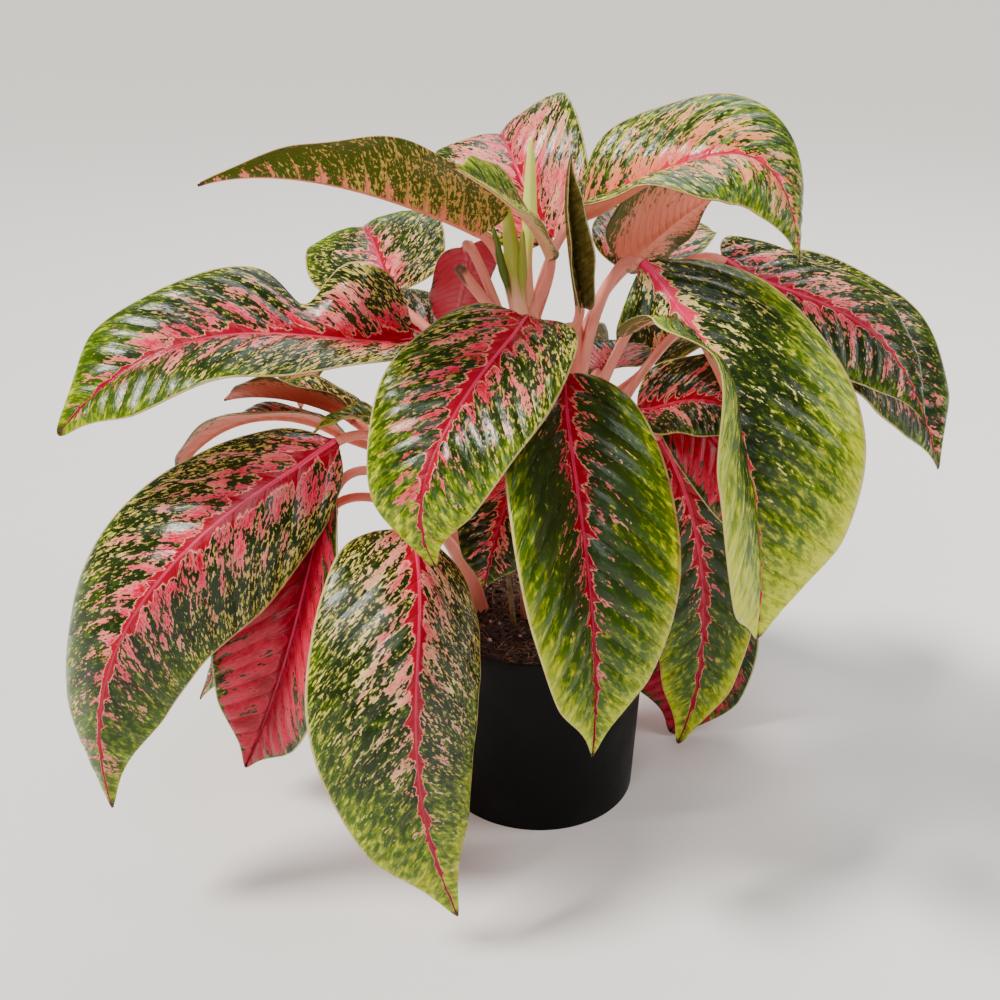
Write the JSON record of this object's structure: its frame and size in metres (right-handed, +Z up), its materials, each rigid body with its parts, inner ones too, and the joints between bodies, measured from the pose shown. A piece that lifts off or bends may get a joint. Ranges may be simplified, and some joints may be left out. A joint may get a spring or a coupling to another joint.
{
  "type": "potted beauty aglaonema",
  "caption": "Potted aglaonema with pink and cream mottled green leaves in a black nursery pot.",
  "frame": {"origin": "centre of the pot's foot, on the surface it stands on", "axes": "+Z up; the side that the picture shows faces -Y; +X is to the right in the picture"},
  "size_m": [0.4626, 0.3234, 0.3823],
  "materials": {
    "pot": "matte moulded polypropylene",
    "mix": "damp coco peat with fibres and bark chips",
    "petiole": "satin, fleshy",
    "blade": "glossy quilted leaf, mottled green, cream, salmon and crimson",
    "red_blade": "glossy quilted leaf, mostly crimson",
    "spear": "satin rolled young leaf, lime"
  },
  "bodies": {
    "root": {"leaf_back": "blade", "leaf_back_inner": "blade", "leaf_back_left": "blade", "leaf_back_low_left": "blade", "leaf_back_low_right": "blade", "leaf_back_right": "blade", "leaf_front_inner": "blade", "leaf_front_lower": "blade", "leaf_front_middle": "blade", "leaf_front_upper": "blade", "leaf_left_back": "blade", "leaf_left_folded": "blade", "leaf_left_inner": "blade", "leaf_left_low_back": "blade", "leaf_left_lower": "blade", "leaf_left_red": "red_blade", "leaf_left_shelf": "blade", "leaf_left_small": "blade", "leaf_left_upper": "blade", "leaf_right_back": "blade", "leaf_right_front": "blade", "leaf_right_hanging": "blade", "leaf_right_inner": "blade", "leaf_right_low_back": "blade", "leaf_right_outer": "blade", "leaf_right_red": "red_blade", "leaf_right_short": "blade", "leaf_right_upper": "blade", "leaf_top_back": "blade", "leaf_top_left": "blade", "leaf_top_right": "blade", "leaf_unfolding": "blade", "leaf_young": "blade", "pot": "pot", "potting_mix": "mix", "spears": "spear", "stem_back": "petiole", "stem_left": "petiole", "stem_main": "petiole", "stem_right": "petiole"}
  },
  "joints": []
}
